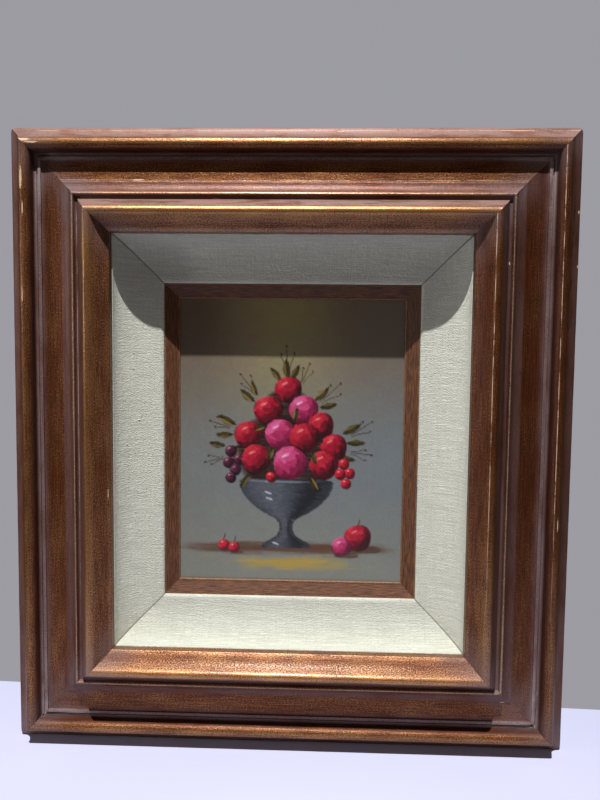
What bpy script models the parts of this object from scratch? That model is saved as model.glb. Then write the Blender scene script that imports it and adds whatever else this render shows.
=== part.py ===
# Framed oil painting: a deep wooden moulding, a linen liner, a wooden slip and a stretched canvas.
# Metres, +Z up. The picture faces -Y and +X is on the viewer's right.
# The origin is the middle of the hanger's flat back, the face that lies against the wall.
# Sections are drawn as (out, rise): out from the edge of the sight opening, rise above its edge.

import math

import bpy
import bmesh
from mathutils import Vector

# Fits
GAP = 0.0003

# The canvas and its stretcher
CANVAS_WIDTH = 0.2032
CANVAS_HEIGHT = 0.2540
CANVAS_THICKNESS = 0.0006
CANVAS_TURNOVER = 0.0150
SIGHT_OVERLAP = 0.00635
BAR_WIDTH = 0.0360
BAR_DEPTH = 0.0169
BAR_RIM = 0.0050
BAR_BEVEL = 0.0020
BACK_SETBACK = 0.0010

# The slip, a narrow wooden moulding round the canvas
SLIP_FACE = 0.01155
SLIP_EDGE = 0.0020
SLIP_RISE = 0.0056
SLIP_ROUND = 0.0012

# The liner, a scooped moulding covered in linen
LINER_FACE = 0.0360
LINER_EDGE_RISE = 0.0080
LINER_EDGE_THICKNESS = 0.0034
LINER_EDGE_ROUND = 0.0012
LINER_COVER = 0.0058

# The wooden moulding, its members in order from the outer side to the lip
SIDE_RISE = 0.0136
SIDE_ROUND = 0.0022
OUTER_COVE_WIDTH = 0.0120
OUTER_COVE_HOLLOW = 0.0020
BEAD_RADIUS = 0.0053
BEAD_RISE = 0.0339
FILLET_WIDTH = 0.0027
FILLET_RISE = 0.0246
FILLET_STEP = 0.0011
QUIRK_WIDTH = 0.0010
FRIEZE_WIDTH = 0.0170
FRIEZE_RISE = 0.0240
FRIEZE_TILT = 0.0013
FRIEZE_HOLLOW = 0.0012
SCOTIA_WIDTH = 0.0094
SCOTIA_STEP = 0.0008
REED_WIDTH = 0.0018
REED_RISE = 0.0341
GROOVE_WIDTH = 0.0032
GROOVE_RISE = 0.0312
ROLL_FLANK_WIDTH = 0.0064
ROLL_RADIUS = 0.0052
ROLL_RISE = 0.0495
SLOPE_WIDTH = 0.0126
LIP_RISE = 0.0352
LIP_THICKNESS = 0.0052
LIP_ROUND = 0.0016
LIP_COVER = 0.0070

# The sawtooth hanger and its nails
HANGER_INSET = 0.0220
HANGER_LENGTH = 0.0460
HANGER_HEIGHT = 0.0090
HANGER_THICKNESS = 0.0008
HANGER_LIFT = 0.0015
HANGER_FOOT = 0.0085
HANGER_RAMP = 0.0020
TOOTH_COUNT = 10
TOOTH_DEPTH = 0.0016
NAIL_RADIUS = 0.0007
NAIL_HEAD_RADIUS = 0.0020
NAIL_HEAD_HEIGHT = 0.0006
NAIL_LENGTH = 0.0110

# Levels along the depth and the places of the members, worked out from the sizes above
canvas_front = BACK_SETBACK + BAR_DEPTH + 2 * (CANVAS_THICKNESS + GAP)
sight_level = canvas_front + GAP + SLIP_EDGE
hanger_proud = GAP + HANGER_THICKNESS + HANGER_LIFT
liner_inner = SLIP_FACE + GAP
liner_outer = liner_inner + LINER_FACE
lip_edge = liner_outer + GAP
bead_width = 2 * BEAD_RADIUS
fillets_width = 2 * FILLET_WIDTH + QUIRK_WIDTH
roll_angle_start = math.radians(154)
roll_angle_end = math.radians(47)
roll_width = ROLL_FLANK_WIDTH + ROLL_RADIUS * (math.cos(roll_angle_end) - math.cos(roll_angle_start))
moulding_width = (OUTER_COVE_WIDTH + bead_width + fillets_width + FRIEZE_WIDTH + SCOTIA_WIDTH
                  + REED_WIDTH + GROOVE_WIDTH + roll_width + SLOPE_WIDTH)
moulding_outer = lip_edge + moulding_width
sight_half_width = CANVAS_WIDTH / 2 - SIGHT_OVERLAP
sight_half_height = CANVAS_HEIGHT / 2 - SIGHT_OVERLAP
picture_centre_z = HANGER_INSET - sight_half_height - moulding_outer

# Each side of the picture: its name and how far the top rail turns about Y to reach it
SIDES = (("top", 0), ("right", 90), ("bottom", 180), ("left", -90))


def clear_scene():
    for item in list(bpy.data.objects):
        bpy.data.objects.remove(item, do_unlink=True)


def make_material(name, colour, roughness, metallic=0.0):
    material = bpy.data.materials.new(name)
    material.use_nodes = True
    shader = material.node_tree.nodes["Principled BSDF"]
    shader.inputs["Base Color"].default_value = (*colour, 1.0)
    shader.inputs["Roughness"].default_value = roughness
    shader.inputs["Metallic"].default_value = metallic
    return material


def arc(centre, radius_out, radius_rise, start, end, steps):
    """Points of an elliptical arc, from one angle to another in radians."""
    points = []
    for step in range(steps + 1):
        angle = start + (end - start) * step / steps
        points.append((centre[0] + radius_out * math.cos(angle), centre[1] + radius_rise * math.sin(angle)))
    return points


def hollow(start, end, depth, steps):
    """Points of a shallow parabola between two points, bowed by depth to the right of the way."""
    first = Vector(start)
    last = Vector(end)
    way = (last - first).normalized()
    side = Vector((way.y, -way.x))
    points = []
    for step in range(steps + 1):
        share = step / steps
        point = first.lerp(last, share) + side * depth * 4 * share * (1 - share)
        points.append((point.x, point.y))
    return points


def moulding_section():
    """The wooden moulding from its back, up the outer side and down to the rabbet."""
    points = [(0, -sight_level)]
    points += arc((SIDE_ROUND, SIDE_RISE), SIDE_ROUND, SIDE_ROUND, math.pi, math.radians(105), 4)

    # Outer cove and bead
    bead_centre = (OUTER_COVE_WIDTH + BEAD_RADIUS, BEAD_RISE - BEAD_RADIUS)
    bead_start = math.radians(193)
    bead_foot = (bead_centre[0] + BEAD_RADIUS * math.cos(bead_start),
                 bead_centre[1] + BEAD_RADIUS * math.sin(bead_start))
    quirk = (bead_foot[0] - QUIRK_WIDTH / 2, bead_foot[1] - QUIRK_WIDTH / 2)
    points += hollow(points[-1], quirk, OUTER_COVE_HOLLOW, 7)[1:]
    points += arc(bead_centre, BEAD_RADIUS, BEAD_RADIUS, bead_start, math.radians(-12), 16)

    # Two fillets with a quirk between them
    inset = OUTER_COVE_WIDTH + bead_width
    points.append((inset, FILLET_RISE))
    points.append((inset + FILLET_WIDTH, FILLET_RISE))
    points.append((inset + FILLET_WIDTH, FILLET_RISE - FILLET_STEP))
    inset += FILLET_WIDTH + QUIRK_WIDTH
    points.append((inset, FILLET_RISE - FILLET_STEP))
    points.append((inset, FILLET_RISE + FILLET_STEP))
    inset += FILLET_WIDTH
    points.append((inset, FILLET_RISE + FILLET_STEP))

    # Frieze, a broad shallow hollow
    frieze_end = (inset + FRIEZE_WIDTH, FRIEZE_RISE + FRIEZE_TILT)
    points += hollow((inset, FRIEZE_RISE), frieze_end, FRIEZE_HOLLOW, 8)
    inset += FRIEZE_WIDTH

    # Scotia up to the reed, then the groove
    scotia_radii = (SCOTIA_WIDTH, REED_RISE - frieze_end[1] - SCOTIA_STEP)
    scotia_centre = (inset, REED_RISE)
    points += arc(scotia_centre, *scotia_radii, math.radians(-90), math.radians(-8), 8)
    inset += SCOTIA_WIDTH
    points.append((inset + REED_WIDTH * 0.2, REED_RISE))
    points.append((inset + REED_WIDTH * 0.8, REED_RISE))
    inset += REED_WIDTH
    points.append((inset, GROOVE_RISE))
    inset += GROOVE_WIDTH
    points.append((inset, GROOVE_RISE))

    # Roll, from its steep flank over the crown to the arris
    roll_centre = (inset + ROLL_FLANK_WIDTH - ROLL_RADIUS * math.cos(roll_angle_start), ROLL_RISE - ROLL_RADIUS)
    crown = arc(roll_centre, ROLL_RADIUS, ROLL_RADIUS, roll_angle_start, roll_angle_end, 10)
    points += hollow(points[-1], crown[0], -ROLL_RADIUS / 12, 5)[1:-1]
    points += crown
    inset += roll_width

    # Slope down to the rounded lip, and the rabbet behind it
    lip_centre = (moulding_width - LIP_ROUND, LIP_RISE)
    points += hollow(points[-1], (lip_centre[0] + LIP_ROUND * math.cos(math.radians(55)),
                                  lip_centre[1] + LIP_ROUND * math.sin(math.radians(55))), LIP_ROUND / 3, 5)[1:-1]
    points += arc(lip_centre, LIP_ROUND, LIP_ROUND, math.radians(55), 0, 5)
    lip_underside = LIP_RISE - LIP_THICKNESS
    points.append((moulding_width, lip_underside))
    points.append((moulding_width - LIP_COVER, lip_underside))
    points.append((moulding_width - LIP_COVER, -sight_level))
    return [(moulding_outer - inset, rise) for inset, rise in points]


def liner_section():
    """The liner: a flange under the moulding's lip, the scoop, its edge and the rabbet for the slip."""
    back = BACK_SETBACK - sight_level
    flange_top = LIP_RISE - LIP_THICKNESS - GAP
    flange_outer = lip_edge + LIP_COVER - GAP
    points = [(flange_outer, back), (flange_outer, flange_top)]
    scoop_height = flange_top - LINER_EDGE_RISE
    scoop_width = LINER_FACE - LINER_EDGE_ROUND
    scoop_centre = (liner_inner + LINER_EDGE_ROUND, flange_top)
    points += arc(scoop_centre, scoop_width, scoop_height, 0, math.radians(-90), 20)
    round_centre = (liner_inner + LINER_EDGE_ROUND, points[-1][1] - LINER_EDGE_ROUND)
    points += arc(round_centre, LINER_EDGE_ROUND, LINER_EDGE_ROUND, math.radians(90), math.pi, 5)[1:]
    edge_underside = LINER_EDGE_RISE - LINER_EDGE_THICKNESS
    points.append((liner_inner, edge_underside))
    points.append((liner_inner + LINER_COVER, edge_underside))
    points.append((liner_inner + LINER_COVER, back))
    return points


def slip_section():
    """The slip: a flange under the liner's edge, a sloping face, the sight edge and the canvas rabbet."""
    back = BACK_SETBACK - sight_level
    outer = liner_inner + LINER_COVER - GAP
    flange_top = LINER_EDGE_RISE - LINER_EDGE_THICKNESS - GAP
    points = [(outer, back), (outer, flange_top), (SLIP_FACE, flange_top), (SLIP_FACE, SLIP_RISE)]
    points += arc((SLIP_ROUND, -SLIP_ROUND), SLIP_ROUND, SLIP_ROUND, math.radians(90), math.pi, 5)
    points.append((0, -SLIP_EDGE))
    points.append((SIGHT_OVERLAP + GAP, -SLIP_EDGE))
    points.append((SIGHT_OVERLAP + GAP, back))
    return points


def bar_section():
    """A stretcher bar: the rim that carries the canvas, the bevel that clears it and the flat back."""
    outer = SIGHT_OVERLAP - CANVAS_THICKNESS - GAP
    inner = outer - BAR_WIDTH
    front = canvas_front - CANVAS_THICKNESS - GAP - sight_level
    back = front - BAR_DEPTH
    return [(outer, back), (outer, front), (outer - BAR_RIM, front), (inner, front - BAR_BEVEL), (inner, back)]


def finish_mesh(name, shape, material):
    """Turn a bmesh into a named object with its material, its round stretches shaded smooth."""
    bmesh.ops.recalc_face_normals(shape, faces=shape.faces)
    mesh = bpy.data.meshes.new(name)
    shape.to_mesh(mesh)
    shape.free()
    mesh.shade_smooth()
    mesh.set_sharp_from_angle(angle=math.radians(28))
    mesh.materials.append(material)
    item = bpy.data.objects.new(name, mesh)
    bpy.context.scene.collection.objects.link(item)
    return item


def mitred_rail(name, section, half_opening, turn, distance, centre, material):
    """Extrude a section along one side of the sight opening and cut both ends to a mitre.

    half_opening is half of the opening's length along the rail, distance its half across it.
    """
    shape = bmesh.new()
    corners = [shape.verts.new((0, -rise, out)) for out, rise in section]
    first_end = shape.faces.new(corners)
    extruded = bmesh.ops.extrude_face_region(shape, geom=[first_end])
    far_end = [item for item in extruded["geom"] if isinstance(item, bmesh.types.BMVert)]
    mitre_gap = GAP / 2 * math.sqrt(2)
    for vert in corners:
        vert.co.x = -(half_opening + vert.co.z - mitre_gap)
    for vert in far_end:
        vert.co.x = half_opening + vert.co.z - mitre_gap
    for vert in shape.verts:
        vert.co.z += distance
    rail = finish_mesh(name, shape, material)
    rail.parent = centre
    rail.rotation_euler = (0, math.radians(turn), 0)
    return rail


def rails_round(prefix, suffix, section, centre, material):
    """The four rails of one moulding, mitred round the sight opening."""
    rails = {}
    for side, turn in SIDES:
        across = side in ("top", "bottom")
        half_opening = sight_half_width if across else sight_half_height
        distance = sight_half_height if across else sight_half_width
        name = f"{prefix}_{side}_{suffix}"
        rails[side] = mitred_rail(name, section, half_opening, turn, distance, centre, material)
    return rails


def make_canvas(centre, material):
    """The canvas: its front, its four sides and the turnover on the back, as one closed skin."""
    front = canvas_front - sight_level
    back = BACK_SETBACK - sight_level
    rings = [
        (0, front),
        (0, back),
        (CANVAS_TURNOVER, back),
        (CANVAS_TURNOVER, back + CANVAS_THICKNESS),
        (CANVAS_THICKNESS, back + CANVAS_THICKNESS),
        (CANVAS_THICKNESS, front - CANVAS_THICKNESS),
    ]
    shape = bmesh.new()
    loops = []
    for inset, rise in rings:
        half_width = CANVAS_WIDTH / 2 - inset
        half_height = CANVAS_HEIGHT / 2 - inset
        corners = ((-1, -1), (1, -1), (1, 1), (-1, 1))
        loops.append([shape.verts.new((x * half_width, -rise, z * half_height)) for x, z in corners])
    shape.faces.new(loops[0])
    shape.faces.new(loops[-1])
    for near, far in zip(loops, loops[1:]):
        for corner in range(4):
            following = (corner + 1) % 4
            shape.faces.new((near[corner], near[following], far[following], far[corner]))
    canvas = finish_mesh("canvas", shape, material)
    canvas.parent = centre
    return canvas


def turned(name, profile, sides, place, material):
    """Turn a profile of (radius, depth) points about the Y axis and close both of its ends."""
    shape = bmesh.new()
    loops = []
    for radius, depth in profile:
        angles = [2 * math.pi * side / sides for side in range(sides)]
        loops.append([shape.verts.new((radius * math.cos(a), depth, radius * math.sin(a))) for a in angles])
    shape.faces.new(loops[0])
    shape.faces.new(loops[-1])
    for near, far in zip(loops, loops[1:]):
        for side in range(sides):
            following = (side + 1) % sides
            shape.faces.new((near[side], near[following], far[following], far[side]))
    item = finish_mesh(name, shape, material)
    item.location = place
    return item


def make_hanger(material):
    """A bent strip with flat feet and a row of teeth along the lower edge of its raised middle."""
    half = HANGER_LENGTH / 2
    raised_half = half - HANGER_FOOT - HANGER_RAMP
    columns = [(-half, 0, 0), (-half + HANGER_FOOT, 0, 0), (-raised_half, HANGER_LIFT, 0)]
    pitch = 2 * raised_half / TOOTH_COUNT
    for tooth in range(TOOTH_COUNT):
        start = -raised_half + tooth * pitch
        columns.append((start + pitch / 2, HANGER_LIFT, TOOTH_DEPTH))
        columns.append((start + pitch, HANGER_LIFT, 0))
    columns += [(half - HANGER_FOOT, 0, 0), (half, 0, 0)]
    top = HANGER_HEIGHT / 2
    shape = bmesh.new()
    loops = []
    for x, lift, notch in columns:
        wall_face = lift - HANGER_LIFT
        wood_face = wall_face - HANGER_THICKNESS
        corners = ((wood_face, top), (wall_face, top), (wall_face, notch - top), (wood_face, notch - top))
        loops.append([shape.verts.new((x, depth, z)) for depth, z in corners])
    shape.faces.new(loops[0])
    shape.faces.new(loops[-1])
    for near, far in zip(loops, loops[1:]):
        for corner in range(4):
            following = (corner + 1) % 4
            shape.faces.new((near[corner], near[following], far[following], far[corner]))
    return finish_mesh("sawtooth_hanger", shape, material)


def drill(item, cutter):
    cut = item.modifiers.new("nail hole", "BOOLEAN")
    cut.operation = "DIFFERENCE"
    cut.solver = "EXACT"
    cut.object = cutter


def make_nail(side, x, top_rail, hanger, material, guide_material):
    """One nail through the hanger's foot into the top rail, and the hole that clears it."""
    foot_face = -HANGER_LIFT
    head_front = foot_face + GAP
    head_back = head_front + NAIL_HEAD_HEIGHT
    tip = foot_face - HANGER_THICKNESS - NAIL_LENGTH
    point_length = 2 * NAIL_RADIUS
    profile = [
        (NAIL_HEAD_RADIUS * 0.6, head_back),
        (NAIL_HEAD_RADIUS, head_front + NAIL_HEAD_HEIGHT / 2),
        (NAIL_HEAD_RADIUS, head_front),
        (NAIL_RADIUS, head_front),
        (NAIL_RADIUS, tip + point_length),
        (NAIL_RADIUS * 0.2, tip),
    ]
    turned(f"hanger_nail_{side}", profile, 12, (x, 0, 0), material)
    hole_radius = NAIL_RADIUS + GAP
    hole = [(hole_radius, foot_face + HANGER_LIFT), (hole_radius, tip - GAP)]
    cutter = turned(f"nail_hole_guide_{side}", hole, 16, (x, 0, 0), guide_material)
    cutter.hide_render = True
    cutter.display_type = "WIRE"
    drill(top_rail, cutter)
    drill(hanger, cutter)


def build():
    clear_scene()
    stained_wood = make_material("stained gilt wood", (0.19, 0.075, 0.03), 0.42, 0.25)
    linen = make_material("linen", (0.60, 0.60, 0.53), 0.95)
    slip_wood = make_material("slip wood", (0.16, 0.065, 0.035), 0.6)
    painted_canvas = make_material("painted canvas", (0.30, 0.31, 0.28), 0.5)
    bare_pine = make_material("bare pine", (0.52, 0.37, 0.22), 0.8)
    plated_steel = make_material("plated steel", (0.60, 0.50, 0.30), 0.35, 1.0)
    nail_steel = make_material("nail steel", (0.45, 0.45, 0.46), 0.4, 1.0)

    centre = bpy.data.objects.new("picture centre", None)
    centre.location = (0, -hanger_proud - sight_level, picture_centre_z)
    bpy.context.scene.collection.objects.link(centre)

    frame_rails = rails_round("frame", "rail", moulding_section(), centre, stained_wood)
    rails_round("liner", "rail", liner_section(), centre, linen)
    rails_round("slip", "rail", slip_section(), centre, slip_wood)
    rails_round("stretcher", "bar", bar_section(), centre, bare_pine)
    make_canvas(centre, painted_canvas)

    hanger = make_hanger(plated_steel)
    nail_x = HANGER_LENGTH / 2 - HANGER_FOOT / 2
    for side, x in (("left", -nail_x), ("right", nail_x)):
        make_nail(side, x, frame_rails["top"], hanger, nail_steel, bare_pine)


build()
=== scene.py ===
import math

import bpy
import numpy as np
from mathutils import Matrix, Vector


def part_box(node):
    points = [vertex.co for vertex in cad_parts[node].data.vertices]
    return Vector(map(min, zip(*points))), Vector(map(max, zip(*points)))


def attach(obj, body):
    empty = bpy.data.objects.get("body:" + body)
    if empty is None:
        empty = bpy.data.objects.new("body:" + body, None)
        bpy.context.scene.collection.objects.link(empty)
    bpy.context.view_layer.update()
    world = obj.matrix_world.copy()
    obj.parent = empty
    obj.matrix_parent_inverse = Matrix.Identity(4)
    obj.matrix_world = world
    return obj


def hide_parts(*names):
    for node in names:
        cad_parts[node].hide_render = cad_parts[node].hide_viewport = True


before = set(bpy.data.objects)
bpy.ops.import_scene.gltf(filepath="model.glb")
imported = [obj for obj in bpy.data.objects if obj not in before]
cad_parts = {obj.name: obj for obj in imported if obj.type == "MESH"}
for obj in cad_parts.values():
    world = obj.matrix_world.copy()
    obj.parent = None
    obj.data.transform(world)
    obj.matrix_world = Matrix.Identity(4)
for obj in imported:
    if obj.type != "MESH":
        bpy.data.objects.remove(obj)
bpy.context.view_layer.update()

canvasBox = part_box("canvas")
pictureCentre = (canvasBox[0] + canvasBox[1]) / 2
sightLevel = canvasBox[0].y - 0.0023  # the slip's sight edge, 2.3 mm in front of the canvas
sightHalf = (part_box("slip_right_rail")[0].x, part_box("slip_top_rail")[0].z - pictureCentre.z)
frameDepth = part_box("frame_right_rail")[1].x - sightHalf[0]  # from the sight edge out to the frame's side

# Which way is out, which way the rail runs, how far off its sight edge is and half how long that is
sides = {}
for side, out in (("top", (0, 0, 1)), ("right", (1, 0, 0)), ("bottom", (0, 0, -1)), ("left", (-1, 0, 0))):
    length, away = sightHalf if out[2] else sightHalf[::-1]
    sides[side] = {"out": Vector(out), "along": Vector((out[2], 0, -out[0])), "away": away, "length": length}
frontRise = 0.01  # the front of a frame rail stands further forward of the sight edge than this


# Small tools for modelling

def onlySelect(*pieces):
    bpy.ops.object.select_all(action="DESELECT")
    for piece in pieces:
        piece.select_set(True)
    bpy.context.view_layer.objects.active = pieces[0]


def readMesh(items, name, width, kind=np.float32):
    # one number or one row of numbers for each point, edge or face
    values = np.empty(len(items) * width, kind)
    items.foreach_get(name, values)
    return values.reshape(-1, width) if width > 1 else values


def pointsOf(piece):
    return readMesh(piece.data.vertices, "co", 3).astype(float)


def movePoints(piece, points):
    piece.data.vertices.foreach_set("co", points.astype(np.float32).ravel())
    piece.data.update()


def storeOnPoints(piece, **layers):
    # a layer is one number for each point, or the three parts of a vector
    for name, values in layers.items():
        kind, key = "FLOAT", "value"
        if isinstance(values, tuple):
            kind, key = "FLOAT_VECTOR", "vector"
            values = np.column_stack(np.broadcast_arrays(*values))
        layer = piece.data.attributes.new(name, kind, "POINT")
        layer.data.foreach_set(key, np.asarray(values, np.float32).ravel())


def editEdges(piece, chosen, operator, **settings):
    # runs an edit on the edges that are true in this list
    onlySelect(piece)
    bpy.context.tool_settings.mesh_select_mode = (False, True, False)
    mesh = piece.data
    mesh.polygons.foreach_set("select", np.zeros(len(mesh.polygons), bool))
    mesh.vertices.foreach_set("select", np.zeros(len(mesh.vertices), bool))
    mesh.edges.foreach_set("select", chosen)
    bpy.ops.object.mode_set(mode="EDIT")
    operator(**settings)
    bpy.ops.object.mode_set(mode="OBJECT")


def edgeEnds(piece):
    ends = readMesh(piece.data.edges, "vertices", 2, np.int32)
    points = pointsOf(piece)
    return points[ends[:, 0]], points[ends[:, 1]]


def cutLengthwise(piece, direction, cuts, near=None):
    # cuts the long edges that run this way, and then the pieces of them that are still long
    for number, shortest in zip(cuts, (0.1, 0.0012)):
        start, end = edgeEnds(piece)
        size = np.linalg.norm(end - start, axis=1)
        chosen = (np.abs((end - start) @ np.array(direction)) > size * 0.7) & (size > shortest)
        if near is not None:
            chosen &= near(start) & near(end)
        editEdges(piece, chosen, bpy.ops.mesh.subdivide, number_cuts=number)


def startFromNode(nodeName, pieceName):
    # a merged copy of a CAD node, its triangles joined into whole faces again
    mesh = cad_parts[nodeName].data.copy()
    piece = bpy.data.objects.new(pieceName, mesh)
    bpy.context.scene.collection.objects.link(piece)
    mesh.materials.clear()
    while mesh.uv_layers:
        mesh.uv_layers.remove(mesh.uv_layers[0])
    onlySelect(piece)
    if mesh.has_custom_normals:
        bpy.ops.mesh.customdata_custom_splitnormals_clear()
    bpy.ops.object.mode_set(mode="EDIT")
    bpy.ops.mesh.select_all(action="SELECT")
    bpy.ops.mesh.remove_doubles(threshold=0.00001)
    bpy.ops.mesh.dissolve_limited(angle_limit=math.radians(0.4))
    bpy.ops.object.mode_set(mode="OBJECT")
    return piece


def bevelLongEdges(piece, width, segments, near=None):
    # rounds the sharp edges that run along the rail and leaves the mitres crisp
    onlySelect(piece)
    bpy.context.tool_settings.mesh_select_mode = (False, True, False)
    bpy.ops.object.mode_set(mode="EDIT")
    bpy.ops.mesh.select_all(action="DESELECT")
    bpy.ops.mesh.edges_select_sharp(sharpness=math.radians(26))
    bpy.ops.object.mode_set(mode="OBJECT")
    start, end = edgeEnds(piece)
    chosen = readMesh(piece.data.edges, "select", 1, bool) & (np.linalg.norm(end - start, axis=1) > 0.1)
    if near is not None:
        chosen &= near(start) & near(end)
    editEdges(piece, chosen, bpy.ops.mesh.bevel, offset=width, segments=segments, profile=0.5, affect="EDGES",
              clamp_overlap=True)


def cutFlats(piece, widest, lowest):
    # halves the wide flats of a rail's section until none in front of a level is wider than this
    for _ in range(4):
        start, end = edgeEnds(piece)
        size = np.linalg.norm(end - start, axis=1)
        level = sightLevel - np.minimum(start[:, 1], end[:, 1])
        chosen = (size > widest * 1.4) & (size < 0.1) & (level > lowest)
        editEdges(piece, chosen, bpy.ops.mesh.subdivide, number_cuts=1)


def railPlace(piece, side):
    # how far along the rail, out from the sight edge and forward of it each point is
    place = sides[side]
    offset = pointsOf(piece) - np.array(pictureCentre)
    along = offset @ np.array(place["along"])
    out = offset @ np.array(place["out"]) - place["away"]
    return along, out, sightLevel - pointsOf(piece)[:, 1]


def slide(piece, side, along=0.0, out=0.0, back=0.0):
    # moves each point along the rail, outwards and to the back, each by its own amount
    points = pointsOf(piece)
    for way, amount in ((sides[side]["out"], out), (sides[side]["along"], along), ((0, 1, 0), back)):
        points += np.multiply.outer(amount, np.array(way))
    movePoints(piece, points)


def sectionOf(piece, side):
    # the rail's section, once round from its outer back corner, and how sharply it turns there
    pitch, softness, reach = 0.00025, 0.0008, 14
    _, out, rise = railPlace(piece, side)
    caps = sorted(piece.data.polygons, key=lambda face: len(face.vertices))[-2:]
    corners = list(caps[0].vertices)
    start = max(range(len(corners)), key=lambda i: out[corners[i]] - rise[corners[i]])
    corners = corners[start:] + corners[:start]
    if rise[corners[1]] < rise[corners[-1]]:
        corners = corners[:1] + corners[:0:-1]
    ring = np.array([(out[i], rise[i]) for i in corners + corners[:1]])
    turns = np.concatenate([[0], np.cumsum(np.linalg.norm(np.diff(ring, axis=0), axis=1))])
    around = np.arange(0, turns[-1], pitch)
    path = np.column_stack([np.interp(around, turns, ring[:, axis]) for axis in (0, 1)])
    ways = np.roll(path, -1, axis=0) - path
    heading = np.unwrap(np.arctan2(ways[:, 1], ways[:, 0]))
    bend = np.diff(np.concatenate([heading, heading[:1] + np.sign(heading[-1] - heading[0]) * 2 * np.pi]))
    if bend.sum() < 0:
        bend = -bend
    kernel = np.exp(-0.5 * (np.arange(-reach, reach + 1) * pitch / softness) ** 2)
    bend = np.concatenate([bend[-reach:], bend, bend[:reach]])
    return {"path": path, "around": around, "bend": np.convolve(bend, kernel / kernel.sum(), "valid") / pitch}


def closeMitres(piece, side, gap=0.00004):
    # the CAD leaves a hair between the rails, which glue and filler close on the real one
    along, out, _ = railPlace(piece, side)
    reach = sides[side]["length"] + out
    shift = np.sign(along) * (reach - gap) - along
    slide(piece, side, along=np.where(reach - np.abs(along) < 0.0006, shift, 0))


def layGrain(piece, side, section, number):
    # lays the grain along the rail, with the distance from the mitre, and marks the crests
    sharpest, keysPerMetre = 700, 50000
    along, out, rise = railPlace(piece, side)
    keys = np.round(np.column_stack([out, rise]) * keysPerMetre).astype(int)
    keys, where = np.unique(keys, axis=0, return_inverse=True)
    away = np.linalg.norm(keys[:, None] / keysPerMetre - section["path"][None], axis=2)
    near = away.argmin(axis=1)[where.ravel()]
    mitre = (sides[side]["length"] + out - np.abs(along)) / math.sqrt(2)
    around = section["around"][near]
    crest = np.clip(section["bend"][near] / sharpest, 0, 1)
    storeOnPoints(piece, grain=(along + 1.7 * number, around, mitre), crest=crest)
    return around


def makeRail(node, name, side, number, look):
    # a CAD rail with its long edges eased, cut up finely, and its grain laid along it
    piece = startFromNode(node, name)
    section = sectionOf(piece, side)
    bevelLongEdges(piece, look["bevel"], 2)
    if "flats" in look:
        cutFlats(piece, *look["flats"])
    cutLengthwise(piece, sides[side]["along"], look["cuts"])
    return piece, layGrain(piece, side, section, number)


def assignFaces(piece, rule):
    # rule gives a material number for each face from its middle and normal
    faces = piece.data.polygons
    numbers = rule(readMesh(faces, "center", 3), readMesh(faces, "normal", 3))
    faces.foreach_set("material_index", np.asarray(numbers, np.int32))
    piece.data.update()


def finishPiece(piece, node, slot, *materials, angle=34):
    onlySelect(piece)
    bpy.ops.object.shade_smooth_by_angle(angle=math.radians(angle))
    for material in materials:
        piece.data.materials.append(material)
    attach(piece, "root")
    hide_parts(node)


# Small tools for materials

class nodeValue:
    # what a node gives, made so that sums can be written with it
    def __init__(self, socket):
        self.socket = socket

    def __add__(self, other):
        return reckon("ADD", self, other)

    def __sub__(self, other):
        return reckon("SUBTRACT", self, other)

    def __rsub__(self, other):
        return reckon("SUBTRACT", other, self)

    def __mul__(self, other):
        return reckon("MULTIPLY", self, other)

    def __rtruediv__(self, other):
        return reckon("DIVIDE", other, self)

    def __abs__(self):
        return reckon("ABSOLUTE", self)


def feed(node, inputs):
    # inputs take numbers, vectors, colours of three parts or what other nodes give
    for name, value in inputs.items():
        socket = node.inputs[name]
        if isinstance(value, nodeValue):
            node.id_data.links.new(value.socket, socket)
        else:
            socket.default_value = (*value, 1) if socket.type == "RGBA" else value


def addNode(tree, kind, inputs, **settings):
    node = tree.nodes.new("ShaderNode" + kind)
    for name, value in settings.items():
        setattr(node, name, value)
    feed(node, inputs)
    return node


def put(tree, kind, inputs, output=0, **settings):
    return nodeValue(addNode(tree, kind, inputs, **settings).outputs[output])


def treeOf(*values):
    return next(value.socket.id_data for value in values if isinstance(value, nodeValue))


def reckon(operation, *values, kind="Math", output=0):
    return put(treeOf(*values), kind, dict(enumerate(values)), output, operation=operation)


def most(first, second):
    return reckon("MAXIMUM", first, second)


def fade(value, low, high, toLow=0.0, toHigh=1.0):
    inputs = {"Value": value, "From Min": low, "From Max": high, "To Min": toLow, "To Max": toHigh}
    return put(treeOf(value), "MapRange", inputs, interpolation_type="SMOOTHSTEP")


def mixed(share, first, second, blend="MIX"):
    inputs = {0: share, 6: first, 7: second}
    return put(treeOf(share, first, second), "Mix", inputs, 2, data_type="RGBA", blend_type=blend)


def noiseOf(vector, scale, detail=2.0, roughness=0.5, output="Fac"):
    inputs = {"Vector": vector, "Scale": scale, "Detail": detail, "Roughness": roughness}
    return put(treeOf(vector), "TexNoise", inputs, output)


def stretched(vector, scale, offset=(0, 0, 0)):
    return put(treeOf(vector), "Mapping", {"Vector": vector, "Scale": scale, "Location": offset})


def partsOf(vector):
    return [nodeValue(part) for part in addNode(treeOf(vector), "SeparateXYZ", {0: vector}).outputs]


def attribute(tree, name, output="Fac"):
    return put(tree, "Attribute", {}, output, attribute_name=name)


def startGroup(name, *labels):
    # the first input is a place, the others are numbers
    tree = bpy.data.node_groups.new(name, "ShaderNodeTree")
    for label in labels:
        kind = "NodeSocketVector" if label == labels[0] else "NodeSocketFloat"
        tree.interface.new_socket(label, in_out="INPUT", socket_type=kind)
    return tree, *(nodeValue(socket) for socket in tree.nodes.new("NodeGroupInput").outputs[:len(labels)])


def closeGroup(tree, **results):
    for label in results:
        tree.interface.new_socket(label, in_out="OUTPUT", socket_type="NodeSocketFloat")
    feed(tree.nodes.new("NodeGroupOutput"), results)
    return tree


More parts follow.
